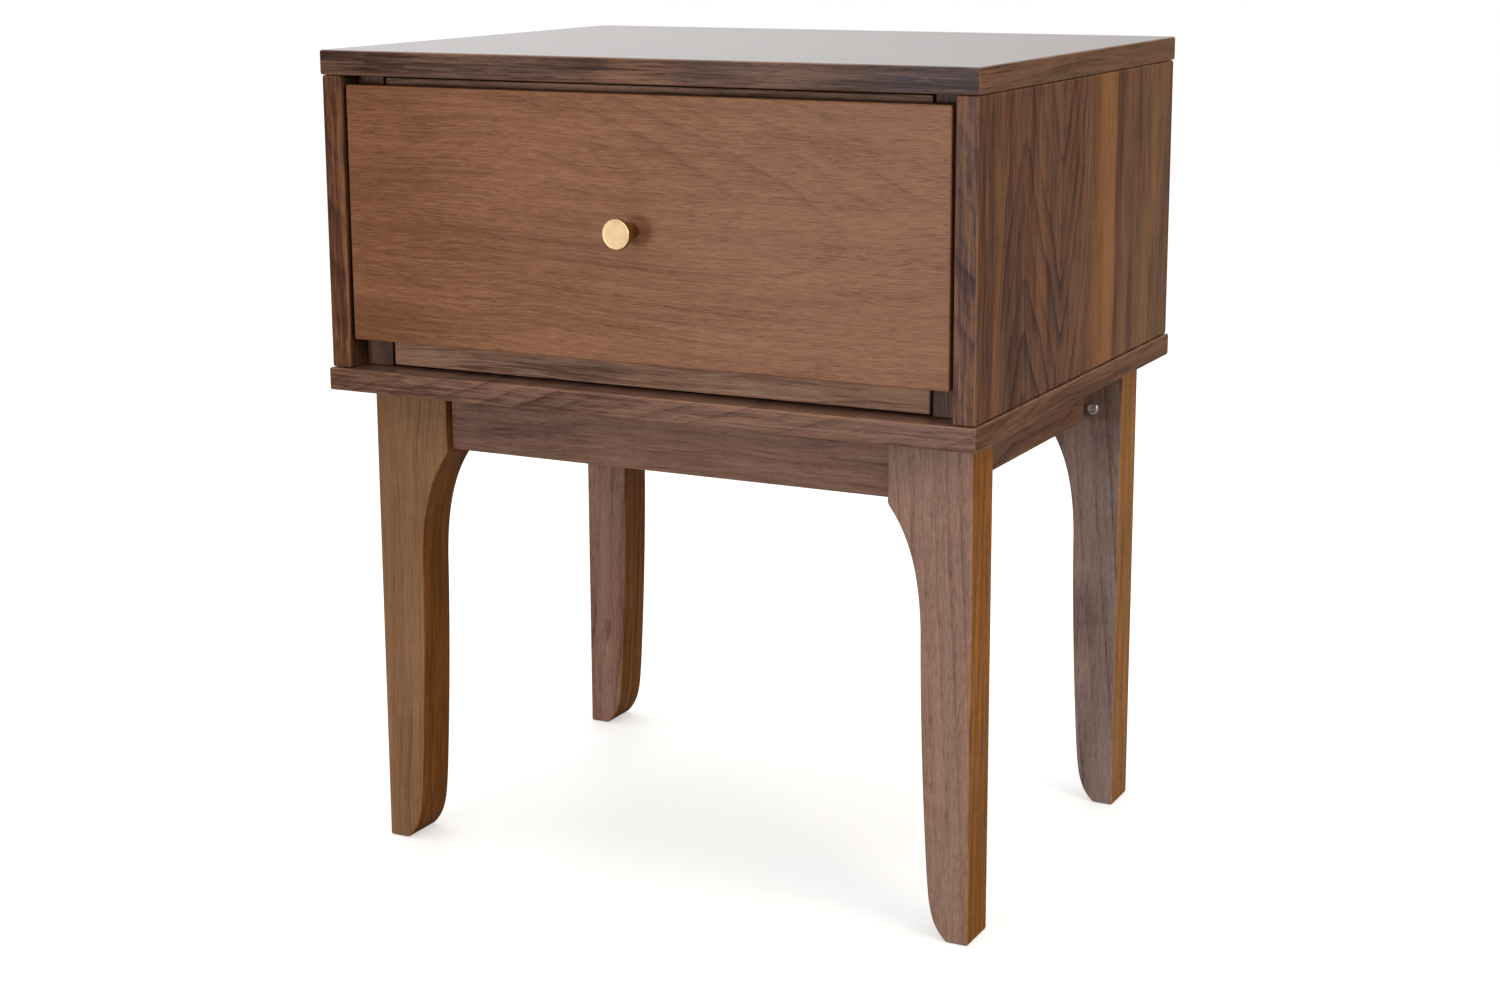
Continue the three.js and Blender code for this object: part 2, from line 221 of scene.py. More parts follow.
def crowned_rings(peak, valley, rise, gap):
    """The figure of a board sawn near the surface of a log, with gap from one ring to the next.

    Nested rings point upwards at peak and downwards at valley, both mm across the board, and run nearly
    straight beyond them. rise moves the figure along the board.
    """
    arm, far_arm, straight = 2.4, 5.4, 7.0
    round_peak, sharp_valley = 26.0, 8.0
    straight_before, soft_before = 40, 12.0
    straight_after, soft_after = 55, 20.0

    def count(g, u, v, w):
        from_peak = g.math("SUBTRACT", v, peak)
        fold = g.math("SMOOTH_MAX", from_peak, g.math("MULTIPLY", from_peak, -1.0), round_peak)
        past_valley = g.math("SMOOTH_MAX", g.math("SUBTRACT", v, valley), 0.0, sharp_valley)
        far = g.math("SMOOTH_MAX", g.math("SUBTRACT", v, valley + straight_after), 0.0, soft_after)
        near = g.math("SMOOTH_MAX", g.math("SUBTRACT", peak - straight_before, v), 0.0, soft_before)
        height = g.math("MULTIPLY_ADD", fold, arm, g.math("ADD", g.math("ADD", u, w), rise))
        height = g.math("MULTIPLY_ADD", past_valley, -far_arm, height)
        height = g.math("MULTIPLY_ADD", far, -straight, height)
        height = g.math("MULTIPLY_ADD", near, straight, height)
        return g.math("DIVIDE", height, gap)

    return count


def walnut(
    name,
    tone,
    along="x",
    across="z",
    seed=0.0,
    rings=log_rings(100, -500, 0.05, 9),
    ring_strength=0.5,
    bands=None,
    patches=(),
    patches_on_edge=False,
    slope=0.0,
    side_tone=None,
    banded_ends=False,
    end_tone=None,
    clouds=1.0,
    streaks=1.0,
    fibres=1.0,
    dashes=1.0,
    fineness=1.0,
    shortness=1.0,
    pores=1.0,
    curl=0.04,
    roughness=0.42,
    specular=0.06,
    coat=0.0,
):
    """Oiled walnut with its grain along one axis. All lengths are mm.

    tone is the dark, middle and light colour. bands are (place across, colour) stops that take the place of
    the middle colour. patches are (along, across, half length, half width, colour, strength), and
    patches_on_edge keeps them to the faces that look along across. side_tone colours those faces. With
    banded_ends, the faces that look along the grain carry a strip whose grain runs across the board, in
    end_tone. slope turns the grain across the board. fineness narrows the streaks and fibres, and shortness
    shortens them. clouds, streaks, fibres, dashes, pores and curl say how strong each of those layers is.
    coat is a clearer lacquer on the two broad faces.
    """
    g = Graph(name)
    dark, middle, light = tone
    axes = dict(zip("xyz", g.split(g.stretch(g.position, (1000, 1000, 1000)))))
    facing = dict(zip("xyz", g.split(g.tree.nodes.new("ShaderNodeTexCoord").outputs["Normal"])))
    through = ({"x", "y", "z"} - {along, across}).pop()
    on_edge = g.range(g.math("ABSOLUTE", facing[across]), 0.35, 0.75)
    u, v, w = axes[along], axes[across], axes[through]
    on_end = None
    if banded_ends:
        on_end = g.math("GREATER_THAN", g.math("ABSOLUTE", facing[along]), 0.7)
        turned_grain = g.mix(on_end, g.join(u, v, w), g.join(v, w, u))
        u, v, w = g.split(turned_grain)
    shift = (seed * 13.7, seed * 21.1, seed * 7.3)

    # the grain wanders a little, so every line drawn along it bends gently
    raw = g.join(u, v, w)
    wander = g.math("SUBTRACT", g.noise(raw, (0.006, 0.014, 0.014), shift, detail=2), 0.5)
    waver = g.math("SUBTRACT", g.noise(raw, (0.024, 0.05, 0.05), shift, detail=2), 0.5)
    bent = g.math("MULTIPLY_ADD", wander, 16.0, g.math("MULTIPLY_ADD", u, slope, v))
    bent = g.math("MULTIPLY_ADD", waver, 1.2, bent)
    grain = g.join(u, bent, w)

    # growth rings, each with its own darkness: they darken slowly and end sharply
    turns = rings(g, g.math("MULTIPLY_ADD", waver, 8.0, u), bent, w)
    turns = g.math("MULTIPLY_ADD", wander, 1.6, turns)
    whole = g.math("FLOOR", turns)
    part = g.math("FRACT", turns)
    own = g.noise(g.join(g.math("MULTIPLY", whole, 3.7), seed, 0.0), detail=0)
    late_wood = [(0.0, 0.25), (0.07, 0.0), (0.45, 0.12), (0.8, 0.5), (0.94, 1.0), (1.0, 0.25)]
    line = g.ramp(part, late_wood, "EASE")
    line = g.math("MULTIPLY", line, g.range(own, 0.3, 0.7, 0.3, 1.0))
    thirds = g.math("FRACT", g.math("MULTIPLY", turns, 3.0))
    minor = g.ramp(thirds, [(0.0, 0.06), (0.6, 0.0), (0.9, 0.24), (1.0, 0.06)])
    line = g.math("MAXIMUM", line, minor)
    fading = g.noise(grain, (0.009, 0.03, 0.03), shift, detail=1)
    line = g.math("MULTIPLY", line, g.range(fading, 0.3, 0.65, 0.35, 1.0))

    # colour clouds, streaks, fibres, short dark dashes and pores, all drawn out along the grain
    cloud = g.noise(grain, (0.006, 0.05, 0.05), shift, detail=3, roughness=0.55)
    broad, narrow, short = 0.36 * fineness, 0.95 * fineness, 0.62 * fineness
    streak = g.noise(grain, (0.009, broad, broad), shift, detail=3, roughness=0.6)
    turn_over = fineness * shortness
    fibre = g.noise(grain, (0.024 * turn_over, narrow, narrow), shift, detail=2, roughness=0.6)
    dash = g.noise(grain, (0.045 * turn_over, short, short), shift, detail=2, roughness=0.6)
    dash = g.range(dash, 0.55, 0.7)
    pore = g.range(g.noise(grain, (0.11, 2.2, 2.2), shift, detail=1), 0.6, 0.74)
    pore = g.math("MULTIPLY", pore, 0.5 * pores)
    wave = g.noise(grain, (0.07, 0.012, 0.012), shift, detail=2, distortion=0.5)

    value = g.math("MULTIPLY_ADD", g.math("SUBTRACT", cloud, 0.5), CLOUD_SHARE * clouds, 0.5)
    value = g.math("MULTIPLY_ADD", g.math("SUBTRACT", streak, 0.5), STREAK_SHARE * streaks, value)
    value = g.math("MULTIPLY_ADD", g.math("SUBTRACT", fibre, 0.5), FIBRE_SHARE * fibres, value)
    value = g.math("MULTIPLY_ADD", dash, -DASH_SHARE * dashes, value)
    value = g.math("ADD", value, RING_BALANCE * ring_strength)
    value = g.math("MULTIPLY_ADD", line, -ring_strength, value, clamp=True)

    body = middle
    if bands:
        first, last = bands[0][0], bands[-1][0]
        place = g.math("MULTIPLY_ADD", wander, 5.0, v)
        place = g.math("MULTIPLY_ADD", g.math("SUBTRACT", streak, 0.5), 3.0, place)
        place = g.range_linear(place, first, last)
        body = g.ramp(place, [((at - first) / (last - first), colour) for at, colour in bands])
    for at_u, at_v, half_u, half_v, patch, share in patches:
        ragged = g.math("MULTIPLY", g.math("SUBTRACT", streak, 0.5), 2.2)
        du = g.math("ADD", g.math("DIVIDE", g.math("SUBTRACT", u, at_u), half_u), ragged)
        dv = g.math("DIVIDE", g.math("SUBTRACT", v, at_v), half_v)
        away = g.math("ADD", g.math("MULTIPLY", du, du), g.math("MULTIPLY", dv, dv))
        cover = g.math("MULTIPLY", on_edge, share) if patches_on_edge else share
        body = g.mix(g.math("MULTIPLY", g.range(away, 1.9, 0.0), cover), body, patch)
    if side_tone:
        stripe = g.noise(raw, (0.012, 0.02, 0.28), shift, detail=3, roughness=0.6)
        body = g.mix(on_edge, body, g.shade(side_tone, g.range(stripe, 0.35, 0.65, 0.72, 1.22)))
    if banded_ends:
        body = g.mix(on_end, body, end_tone)
    colour = g.mix(g.range_linear(value, 0.5, 0.0), body, g.mix(0.5, g.shade(body, 0.45), dark))
    colour = g.mix(g.range_linear(value, 0.5, 1.0), colour, g.mix(0.5, g.shade(body, 1.45), light))
    colour = g.shade(colour, g.range(wave, 0.25, 0.75, 1.0 - curl, 1.0 + curl))
    colour = g.mix(pore, colour, PORE)
    # the rounded edge strips are lightened: partly wear, partly a painted highlight along them
    worn_and_highlit = g.math("MULTIPLY", g.attribute("eased"), g.range(streak, 0.35, 0.65, 0.04, 0.22))
    colour = g.mix(worn_and_highlit, colour, WORN_AND_HIGHLIT_EDGE)

    relief = g.math("MULTIPLY_ADD", pore, -0.9, g.math("MULTIPLY", fibre, 0.35))
    ripple = g.noise(raw, (0.014, 0.03, 0.03), shift, detail=1)
    rough = g.math("MULTIPLY_ADD", fibre, 0.14, g.math("MULTIPLY_ADD", pore, 0.25, roughness - 0.07))
    g.surface(
        Base_Color=colour,
        Roughness=rough,
        Specular_IOR_Level=specular,
        Normal=g.bump(relief, 0.2, 0.0002, g.bump(ripple, 0.05, 0.002)),
        Coat_Weight=g.range(g.math("ABSOLUTE", facing[through]), 0.4, 0.9, 0.0, coat) if coat else 0.0,
        Coat_Roughness=0.16,
    )
    return g.material


CASE_TONE = (srgb(64, 42, 32), srgb(100, 68, 50), srgb(130, 92, 62))
TOP_TONE = (srgb(50, 36, 32), srgb(88, 66, 58), srgb(118, 90, 74))
BASE_TONE = (srgb(68, 46, 38), srgb(101, 74, 63), srgb(132, 100, 84))
DARK_TONE = (srgb(50, 34, 28), srgb(84, 62, 54), srgb(112, 84, 70))


def case_materials():
    front_edge = -190
    top = walnut(
        "walnut_top",
        TOP_TONE,
        along="x",
        across="y",
        seed=1,
        rings=log_rings(-150, 500, -0.02, 8),
        ring_strength=0.6,
        patches=(
            (-240, front_edge, 90, 30, srgb(56, 36, 26), 0.8),
            (-42, front_edge, 26, 30, srgb(70, 50, 44), 0.6),
            (8, front_edge, 30, 30, srgb(128, 92, 70), 0.55),
            (62, front_edge, 34, 30, srgb(76, 58, 54), 0.4),
            (118, front_edge, 36, 30, srgb(104, 80, 68), 0.4),
            (240, front_edge, 62, 30, srgb(58, 49, 55), 0.8),
        ),
        patches_on_edge=True,
        banded_ends=True,
        end_tone=srgb(106, 78, 60),
        roughness=0.36,
        coat=0.9,
    )
    base = walnut(
        "walnut_bottom",
        BASE_TONE,
        along="x",
        across="y",
        seed=2,
        rings=log_rings(-190, 60, 0.35, 12),
        ring_strength=0.6,
        patches=(
            (-250, front_edge, 80, 30, srgb(74, 50, 36), 0.7),
            (-118, front_edge, 50, 30, srgb(112, 82, 70), 0.5),
            (228, front_edge, 50, 30, srgb(80, 60, 58), 0.75),
        ),
        patches_on_edge=True,
        banded_ends=True,
        end_tone=srgb(92, 62, 44),
        roughness=0.36,
        coat=0.5,
    )
    side_bands = (
        (-190, srgb(79, 55, 43)),
        (-164, srgb(81, 57, 46)),
        (-158, srgb(101, 70, 51)),
        (-150, srgb(104, 72, 52)),
        (-146, srgb(92, 64, 53)),
        (-104, srgb(89, 63, 52)),
        (-78, srgb(93, 65, 52)),
        (-35, srgb(99, 71, 58)),
        (24, srgb(98, 69, 54)),
        (36, srgb(119, 82, 55)),
        (58, srgb(134, 93, 61)),
        (76, srgb(133, 92, 60)),
        (77.5, srgb(92, 64, 50)),
        (90, srgb(94, 68, 55)),
        (102, srgb(113, 83, 64)),
        (113, srgb(98, 71, 58)),
        (140, srgb(110, 83, 65)),
        (165, srgb(119, 88, 62)),
        (184, srgb(100, 80, 69)),
        (196, srgb(108, 78, 56)),
        (206, srgb(96, 70, 57)),
    )
    edge_tones = {"left": srgb(87, 54, 37), "right": srgb(78, 56, 54)}
    sides = {}
    for side, sign in SIDES:
        sides[side] = walnut(
            f"walnut_side_{side}",
            CASE_TONE,
            along="z",
            across="y",
            seed=3 + sign,
            rings=crowned_rings(-104, -35, -10, 42),
            ring_strength=0.9,
            bands=side_bands,
            side_tone=edge_tones[side],
            streaks=1.1,
            fibres=0.9,
        )
    return top, base, sides


def drawer_front_material():
    tone = (srgb(86, 54, 40), srgb(125, 86, 64), srgb(155, 113, 88))
    return walnut(
        "walnut_drawer_front",
        tone,
        along="x",
        across="z",
        seed=6,
        rings=log_rings(505, -247, -0.12, 8, drift=-0.16),
        ring_strength=0.2,
        slope=0.015,
        patches=(
            (-250, 480, 110, 300, srgb(100, 60, 34), 0.6),
            (190, 480, 190, 160, srgb(132, 97, 78), 0.7),
        ),
        clouds=0.4,
        streaks=0.25,
        fibres=0.65,
        fineness=1.7,
        shortness=1.8,
        dashes=0.7,
        pores=0.7,
        curl=0.02,
        roughness=0.45,
    )


# for each leg, the tones of its front and back and the colour of the faces that look sideways, a saturated
# orange that is partly the wood's own and partly painted warm light
LEG_TONES = {
    ("front", "left"): ((srgb(100, 69, 47), srgb(120, 88, 63), srgb(138, 104, 76)), srgb(116, 70, 24)),
    ("front", "right"): ((srgb(94, 69, 60), srgb(132, 104, 92), srgb(150, 122, 108)), srgb(136, 84, 24)),
    ("rear", "left"): ((srgb(89, 63, 53), srgb(131, 100, 86), srgb(150, 118, 102)), srgb(126, 78, 28)),
    ("rear", "right"): ((srgb(80, 64, 61), srgb(121, 102, 97), srgb(145, 124, 116)), srgb(146, 98, 44)),
}


def leg_material(row, side):
    tone, edge = LEG_TONES[row, side]
    place = list(LEG_TONES).index((row, side))
    knots = {
        ("rear", "left"): ((86, -218, 9, 3, srgb(78, 54, 48), 0.7),),
        ("rear", "right"): ((150, 208, 30, 12, srgb(78, 58, 54), 0.55),),
    }
    smooth_leg = (row, side) == ("front", "left")
    return walnut(
        f"walnut_leg_{row}_{side}",
        tone,
        along="z",
        across="x",
        seed=10 + place,
        rings=log_rings(dict(SIDES)[side] * 620, -500, 0.06, 7),
        clouds=0.6,
        streaks=0.5,
        fibres=0.45 if smooth_leg else 0.65,
        dashes=0.3 if smooth_leg else 0.9,
        fineness=1.4,
        shortness=1.5 if smooth_leg else 2.6,
        pores=0.7,
        patches=knots.get((row, side), ()),
        # the orange of the sideways faces is partly painted warm light
        side_tone=edge,
    )


# ---------------------------------------------------------------- materials: metal, plain wood, floor


def brass():
    """Brushed brass: fine rings on the turned face and round the neck, and a deeper gold painted on the sides
    as a painted reflection of the brown wood and painted shade by the neck.
    """
    g = Graph("brushed_brass")
    x, y, z = g.split(g.stretch(g.position, (1000, 1000, 1000)))
    height = (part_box("knob")[0].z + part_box("knob")[1].z) / 2 / MM
    above = g.math("SUBTRACT", z, height)
    radius = g.math("SQRT", g.math("ADD", g.math("MULTIPLY", x, x), g.math("MULTIPLY", above, above)))
    rings = g.noise(g.join(g.math("MULTIPLY", radius, 4.0), g.math("MULTIPLY", y, 4.0), 0.0), detail=2)
    cloud = g.noise(g.position, (160, 160, 160), detail=1)
    tint = g.mix(g.range(cloud, 0.3, 0.7), srgb(178, 150, 115), srgb(186, 161, 127))
    tint = g.mix(g.math("MULTIPLY", g.range(rings, 0.45, 0.75), 0.3), tint, srgb(160, 134, 94))
    # the sides that turn away from the front get a deeper gold: a painted reflection of the brown drawer
    # front and painted shade round the neck
    towards_front = g.math("ABSOLUTE", g.split(g.tree.nodes.new("ShaderNodeTexCoord").outputs["Normal"])[1])
    tint = g.mix(g.range(towards_front, 0.95, 0.5), tint, srgb(172, 132, 70))
    rough = g.math("MULTIPLY_ADD", rings, 0.1, 0.27)
    g.surface(
        Base_Color=tint,
        Metallic=1.0,
        Roughness=rough,
        Normal=g.bump(rings, 0.1, 0.00004),
    )
    return g.material


def zinc():
    """Bright zinc plate over rolled steel: faint spangle and lines drawn along the slides."""
    g = Graph("zinc_plated_steel")
    spangle = g.noise(g.position, (140, 140, 140), detail=3, roughness=0.7)
    drawn = g.noise(g.position, (1400, 24, 1400), detail=2)
    tint = g.mix(g.range(spangle, 0.3, 0.7), srgb(196, 198, 201), srgb(212, 213, 214))
    rough = g.math("MULTIPLY_ADD", drawn, 0.14, g.math("MULTIPLY_ADD", spangle, 0.06, 0.2))
    g.surface(Base_Color=tint, Metallic=1.0, Roughness=rough, Normal=g.bump(drawn, 0.05, 0.00006))
    return g.material


def light_wood(name, along, across, tone, seed):
    return walnut(
        name,
        tone,
        along=along,
        across=across,
        seed=seed,
        rings=log_rings(60, -90, 0.04, 5),
        ring_strength=0.35,
        clouds=0.6,
        streaks=0.8,
        pores=0.3,
        dashes=0.5,
        roughness=0.5,
        specular=0.3,
    )


BOX_TONE = (srgb(150, 116, 80), srgb(186, 152, 110), srgb(206, 174, 132))
PLAIN_TONE = (srgb(128, 100, 70), srgb(166, 136, 100), srgb(190, 160, 122))


def floor_material():
    """A white studio floor, which throws back less light than it shows, as one lit from above does."""
    g = Graph("studio_floor")
    cloud = g.noise(g.position, (2, 2, 2), detail=2)
    pale = g.mix(cloud, (0.6, 0.6, 0.6, 1), (0.63, 0.63, 0.63, 1))
    seen = g.tree.nodes.new("ShaderNodeLightPath").outputs["Is Camera Ray"]
    g.surface(
        Base_Color=g.mix(seen, (0.3, 0.29, 0.28, 1), pale),
        Roughness=0.5,
        Specular_IOR_Level=0.1,
        Emission_Color=(1, 1, 1, 1),
        Emission_Strength=g.math("MULTIPLY", seen, 0.5),
    )
    return g.material


# ---------------------------------------------------------------- shapes


def new_piece(name, bm, material, body, replaced):
    """Turns bm into an object that rides on body and stands for the CAD node replaced."""
    mesh = bpy.data.meshes.new(name)
    bm.to_mesh(mesh)
    bm.free()
    piece = bpy.data.objects.new(name, mesh)
    bpy.context.scene.collection.objects.link(piece)
    mesh.materials.append(material)
    piece.modifiers.new("even_shading", "WEIGHTED_NORMAL").keep_sharp = True
    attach(piece, body)
    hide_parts(replaced)
    return piece


def ease_edges(bm, ease, segments=3, sharper_than=25.0):
    """Rounds the sharp edges and marks the rounded strips with the point attribute eased."""
    bmesh.ops.recalc_face_normals(bm, faces=bm.faces)
    inner = [edge for edge in bm.edges if len(edge.link_faces) == 2]
    sharp = [edge for edge in inner if math.degrees(edge.calc_face_angle()) > sharper_than]
    made = bmesh.ops.bevel(
        bm,
        geom=sharp,
        offset=ease,
        offset_type="OFFSET",
        segments=segments,
        profile=0.5,
        affect="EDGES",
        clamp_overlap=True,
    )
    strips = set(made["faces"])
    eased = bm.verts.layers.float.new("eased")
    for vert in bm.verts:
        vert[eased] = 1.0 if all(face in strips for face in vert.link_faces) else 0.0
    for face in bm.faces:
        face.smooth = True


def board(node, material, body, ease=PANEL_EASE):
    """The board that a CAD node is, with smoothly rounded edges."""
    low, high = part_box(node)
    size = high - low
    bm = bmesh.new()
    bmesh.ops.create_cube(bm, size=1.0)
    place = Matrix.Translation((low + high) / 2) @ Matrix.Diagonal((*size, 1))
    bmesh.ops.transform(bm, matrix=place, verts=bm.verts)
    ease_edges(bm, ease)
    return new_piece(f"{node}_shape", bm, material, body, node)


def curve(start, *controls, steps):
    """Points along a Bezier curve, without its start."""
    points = [Vector(p) for p in (start, *controls)]
    made = []
    for step in range(1, steps + 1):
        t = step / steps
        level = points
        while len(level) > 1:
            level = [a.lerp(b, t) for a, b in zip(level, level[1:])]
        made.append(tuple(level[0]))
    return made


def leg_outline(shoulder, height):
    """Distance inwards from the leg's outer edge, and height, in mm."""
    apron_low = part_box("apron_front")[0].z / MM
    outline = [(0, 0), (0, height), (shoulder, height), (shoulder, apron_low - 0.5)]
    knee = (shoulder - 1.3, apron_low - 4.5)
    outline += curve(outline[-1], (shoulder, apron_low - 2.5), knee, steps=4)
    outline += curve(knee, (44, 279.5), (36.7, 250), (37, 206), steps=26)
    outline += curve((37, 206), (36, 127), (31, 48), steps=12)
    outline += curve((31, 48), (29.2, 25), (28.5, 11), (16, 0), steps=16)
    return outline


def leg(row, side, sign):
    node = f"leg_{row}_{side}"
    low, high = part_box(node)
    outer = high.x if sign > 0 else -low.x
    outline = leg_outline((high.x - low.x) / MM, high.z / MM)
    bm = bmesh.new()
    front = [bm.verts.new((sign * (outer - inwards * MM), low.y, z * MM)) for inwards, z in outline]
    face = bm.faces.new(front)
    made = bmesh.ops.extrude_face_region(bm, geom=[face])
    back = [v for v in made["geom"] if isinstance(v, bmesh.types.BMVert)]
    bmesh.ops.translate(bm, verts=back, vec=(0, high.y - low.y, 0))
    ease_edges(bm, LEG_EASE)
    return new_piece(f"{node}_shape", bm, leg_material(row, side), "carcase", node)


def smooth_but_sharp_past(bm, angle):
    """Shades a closed shape smoothly and keeps the edges sharp that turn by more than angle, in degrees."""
    bmesh.ops.recalc_face_normals(bm, faces=bm.faces)
    for face in bm.faces:
        face.smooth = True
    for edge in bm.edges:
        if math.degrees(edge.calc_face_angle(0)) > angle:
            edge.smooth = False


def turned(profile, steps, centre, direction):
    """A turned shape about a line along Y: profile holds (radius, distance along direction) in mm."""
    bm = bmesh.new()
    rings = []
    for radius, reach in profile:
        at = centre + Vector((0, direction * reach * MM, 0))
        if radius == 0:
            rings.append([bm.verts.new(at)])
            continue
        spin = [2 * math.pi * i / steps for i in range(steps)]
        arm = radius * MM
        rings.append([bm.verts.new(at + Vector((arm * math.cos(a), 0, arm * math.sin(a)))) for a in spin])
    for here, there in zip(rings, rings[1:]):
        for i in range(steps):
            j = (i + 1) % steps
            loop = [here[i % len(here)], here[j % len(here)], there[j % len(there)], there[i % len(there)]]
            bm.faces.new(list(dict.fromkeys(loop)))
    bmesh.ops.recalc_face_normals(bm, faces=bm.faces)
    for face in bm.faces:
        face.smooth = True
    return bm


def arc(centre, radius, start, end, steps):
    """Points on a circle's arc, angles in degrees."""
    angles = [math.radians(start + (end - start) * i / steps) for i in range(steps + 1)]
    return [(centre[0] + radius * math.cos(a), centre[1] + radius * math.sin(a)) for a in angles]


def knob():
    """The turned knob: a neck that widens to a flat head with a rounded rim. Sizes in mm."""
    low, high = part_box("knob")
    front_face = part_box("drawer_front")[0].y
    centre = Vector((0, front_face, (low.z + high.z) / 2))
    reach, head, neck, rim = 22.0, 10.5, 5.4, 0.6
    seat, foot, dish = 0.3, 0.7, 0.06
    profile = [(0, seat), (neck - 0.4, seat), (neck, foot)]
    profile += curve((neck, foot), (neck - 0.35, 8), (head - 1.7, 13), (head - 0.2, reach - 4), steps=22)
    profile += [(head, reach - 3.4), (head, reach - rim)]
    profile += arc((head - rim, reach - rim), rim, 0, 90, 6)[1:]
    profile += [(head - 1.3, reach), (head - 1.45, reach - dish)]
    profile += [(head * 0.5, reach - dish), (0, reach - dish)]
    bm = turned(profile, 96, centre, -1)
    return new_piece("knob_shape", bm, brass(), "drawer", "knob")


def leg_bolt(row, side, material):
    """The bolt beside an apron: a domed head with a hexagon socket, and a plain shank. Sizes in mm."""
    length, shank, head, tall, socket, seam = 26, 3, 4.7, 2.6, 2.3, 0.3
    steps = 48
    node = f"leg_bolt_{row}_{side}"
    low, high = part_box(node)
    inward = 1 if row == "front" else -1
    seat_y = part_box(f"leg_{row}_{side}")[1 if inward > 0 else 0].y + inward * seam * MM
    centre = Vector(((low.x + high.x) / 2, seat_y, (low.z + high.z) / 2))
    profile = [(0, -length), (shank - 0.6, -length), (shank, 0.8 - length), (shank, 0)]
    profile += [(head - 0.2, 0), (head, 0.2), (head, tall - 1.2)]
    profile += arc((head - 1.0, tall - 1.2), 1.0, 0, 70, 6)[1:]
    profile += [(3.1, tall), (2.75, tall - 0.15)]
    bm = turned(profile, steps, centre, inward)

    # the hexagon socket: the open rim closes onto six sides and goes down to a floor
    rim = {vert for edge in bm.edges if len(edge.link_faces) == 1 for vert in edge.verts}
    rim = sorted(rim, key=lambda v: math.atan2(v.co.z - centre.z, v.co.x - centre.x) % (2 * math.pi))
    hexagons = []
    for depth in (0.25, 1.9):
        at = centre + Vector((0, inward * (tall - depth) * MM, 0))
        ring = []
        for i in range(steps):
            angle = 2 * math.pi * i / steps
            past_corner = angle % (math.pi / 3) - math.pi / 6
            arm = socket * math.cos(math.pi / 6) / math.cos(past_corner) * MM
            ring.append(bm.verts.new(at + Vector((arm * math.cos(angle), 0, arm * math.sin(angle)))))
        hexagons.append(ring)
    for here, there in ((rim, hexagons[0]), (hexagons[0], hexagons[1])):
        for i in range(steps):
            j = (i + 1) % steps
            bm.faces.new((here[i], here[j], there[j], there[i]))
    bm.faces.new(hexagons[1])
    smooth_but_sharp_past(bm, 35)
    return new_piece(f"{node}_shape", bm, material, "carcase", node)


def add_turned(bm, profile, steps, base, towards):
    """Adds a small turned shape to bm, standing on base and pointing along X in the direction towards."""
    extra = turned(profile, steps, Vector((0, 0, 0)), 1)
    turn = Matrix.Rotation(-towards * math.pi / 2, 4, "Z")
    bmesh.ops.transform(extra, matrix=Matrix.Translation(base) @ turn, verts=extra.verts)
    mesh = bpy.data.meshes.new("part")
    extra.to_mesh(mesh)
    extra.free()
    bm.from_mesh(mesh)
    bpy.data.meshes.remove(mesh)


SHEET = 1.2  # mm, the steel that the slides are rolled from


def rolled_section(reach, half):
    """Half of a slide member's section in mm: web at 0, a round bend, and a flange hollowed for the balls."""
    bend, hollow, samples = 2.2, 0.45, 8
    centre = (bend, half - bend)
    outside = arc(centre, bend, 180, 90, 4)
    inside = arc(centre, bend - SHEET, 90, 180, 4)
    run = [bend + (reach - bend) * i / samples for i in range(1, samples + 1)]
    dips = [hollow * math.sin(math.pi * (x - bend) / (reach - bend)) ** 2 for x in run]
    outer_run = [(x, half - dip) for x, dip in zip(run, dips)]
    inner_run = [(x, half - SHEET - dip) for x, dip in zip(run, dips)]
    return outside + outer_run, inner_run[::-1] + inside


def slide_member(member, side, sign, material):
    """One rolled channel of a slide. The inner member also shows the screws that hold it to the box."""
    node = f"slide_{member}_{side}"
    low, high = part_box(node)
    opens = 1 if member == "inner" else -1
    web = (low.x if opens * sign > 0 else high.x) / MM
    centre = (low.z + high.z) / 2 / MM
    outer, inner = rolled_section((high.x - low.x) / MM, (high.z - low.z) / 2 / MM)
    upper = outer + inner
    section = upper + [(x, -z) for x, z in reversed(upper)]
    bm = bmesh.new()
    ends = []
    for y in (low.y, high.y):
        ends.append([bm.verts.new(((web + opens * sign * x) * MM, y, (centre + z) * MM)) for x, z in section])
    count = len(section)
    for i in range(count):
        j = (i + 1) % count
        bm.faces.new((ends[0][i], ends[0][j], ends[1][j], ends[1][i]))
    for end in ends:
        half = len(upper)
        for i in range(half // 2 - 1):
            bm.faces.new((end[i], end[i + 1], end[half - 2 - i], end[half - 1 - i]))
            bm.faces.new((end[-1 - i], end[-2 - i], end[half + 1 + i], end[half + i]))
        bm.faces.new((end[0], end[half - 1], end[half], end[-1]))
    smooth_but_sharp_past(bm, 40)
    if member == "inner":
        screw_head = [(0, 0), (3.6, 0), (3.8, 0.5), (3.2, 1.3), (1.9, 1.75), (1.5, 1.1), (0, 0.9)]
        for along in (35, 163, 265):
            base = Vector(((web + sign * SHEET) * MM, low.y + along * MM, centre * MM))
            add_turned(bm, screw_head, 24, base, sign)
    return new_piece(f"{node}_shape", bm, material, slide_body(member, side), node)


def slide_body(member, side):
    return {"outer": "carcase", "middle": f"slide_{side}", "inner": "drawer"}[member]


# ---------------------------------------------------------------- the table


def paint(node, material):
    """Gives a CAD node that stays its finished material."""
    nodes[node].data.materials.clear()
    nodes[node].data.materials.append(material)


